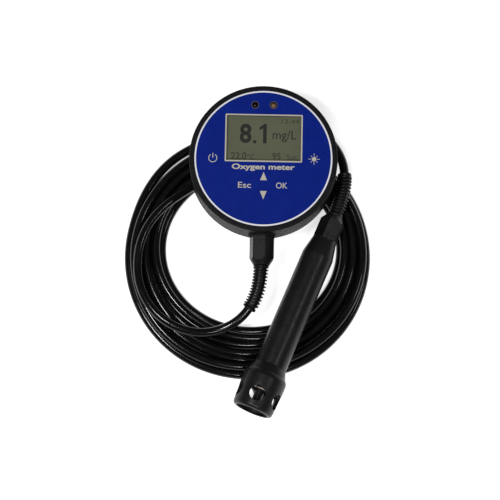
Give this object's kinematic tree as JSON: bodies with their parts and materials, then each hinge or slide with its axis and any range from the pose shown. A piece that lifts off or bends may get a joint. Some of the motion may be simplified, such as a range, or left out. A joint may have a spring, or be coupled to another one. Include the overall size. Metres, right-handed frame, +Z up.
{
  "type": "dissolved oxygen meter with probe",
  "caption": "Round handheld dissolved-oxygen meter with keypad and display, and a cylindrical probe with a slotted guard on a coiled cable.",
  "frame": {"origin": "centre of the cable coil's underside, on the table the set lies on", "axes": "+Z up out of the table and out of the meter's face, +Y from the coil's centre towards the meter, +X to the right as the display is read"},
  "size_m": [0.1708, 0.2271, 0.0432],
  "materials": {
    "case": "satin",
    "overlay": "satin",
    "window": "clear",
    "lcd": "satin",
    "backlight": "satin",
    "board": "satin",
    "chip": "matt",
    "cell": "satin",
    "contact": "bright",
    "screw": "bright",
    "rubber": "matt",
    "gland": "matt",
    "bend_guard": "matt",
    "cord": "satin",
    "probe": "satin",
    "guard": "matt",
    "cap": "satin",
    "seal": "matt",
    "membrane": "clear",
    "gold": "polished",
    "silver": "matt",
    "ir_dark": "gloss",
    "ir_clear": "gloss",
    "key": "satin"
  },
  "bodies": {
    "instrument": {"front_housing": "case", "rear_cover": "case", "cover_screws": "screw", "housing_gasket": "rubber", "graphic_overlay": "overlay", "window_pane": "window", "key_switches": "chip", "lcd_glass": "lcd", "lcd_backlight": "backlight", "ir_receiver": "ir_dark", "ir_emitter": "ir_clear", "main_board": "board", "board_chips": "chip", "battery_holder": "chip", "battery_cell_1": "cell", "battery_cell_2": "cell", "battery_contacts": "contact", "meter_gland_body": "gland", "meter_gland_nut": "gland", "meter_gland_seal": "rubber", "meter_gland_locknut": "gland", "meter_bend_guard": "bend_guard", "probe_gland_body": "gland", "probe_gland_nut": "gland", "probe_gland_seal": "rubber", "probe_bend_guard": "bend_guard", "probe_handle": "probe", "sensor_carrier": "probe", "carrier_o_rings": "rubber", "cathode": "gold", "anode": "silver", "membrane_cap": "cap", "membrane": "membrane", "cap_seal": "seal", "thermistor": "silver", "probe_board": "board", "cord_lead_meter": "cord", "cord_lead_probe": "cord", "cord_coil": "cord"},
    "guard_seal": {"guard_ring": "rubber"},
    "guard": {"probe_guard": "guard"},
    "key_power": {"key_power": "key"},
    "key_light": {"key_light": "key"},
    "key_up": {"key_up": "key"},
    "key_down": {"key_down": "key"},
    "key_esc": {"key_esc": "key"},
    "key_ok": {"key_ok": "key"}
  },
  "joints": [
    {"name": "key_power_press", "type": "slide", "parent": "instrument", "child": "key_power", "axis": [0, 0, -1], "range_m": [0, 0.0004], "stiffness_N_per_m": 4000},
    {"name": "key_light_press", "type": "slide", "parent": "instrument", "child": "key_light", "axis": [0, 0, -1], "range_m": [0, 0.0004], "stiffness_N_per_m": 4000},
    {"name": "key_up_press", "type": "slide", "parent": "instrument", "child": "key_up", "axis": [0, 0, -1], "range_m": [0, 0.0004], "stiffness_N_per_m": 4000},
    {"name": "key_down_press", "type": "slide", "parent": "instrument", "child": "key_down", "axis": [0, 0, -1], "range_m": [0, 0.0004], "stiffness_N_per_m": 4000},
    {"name": "key_esc_press", "type": "slide", "parent": "instrument", "child": "key_esc", "axis": [0, 0, -1], "range_m": [0, 0.0004], "stiffness_N_per_m": 4000},
    {"name": "key_ok_press", "type": "slide", "parent": "instrument", "child": "key_ok", "axis": [0, 0, -1], "range_m": [0, 0.0004], "stiffness_N_per_m": 4000},
    {"name": "guard_travel", "type": "slide", "parent": "instrument", "child": "guard_seal", "axis": [-0.3902, -0.9192, 0.0523], "range_m": [0, 0.00801]},
    {"name": "guard_unscrew", "type": "hinge", "parent": "guard_seal", "child": "guard", "pos_m": [0.0087, -0.09581, 0.02721], "axis": [-0.3902, -0.9192, 0.0523], "range_deg": [0, 1440]}
  ],
  "couplings": [
    {"joint": "guard_travel", "follows": "guard_unscrew", "m_per_rad": 0.00031831}
  ]
}
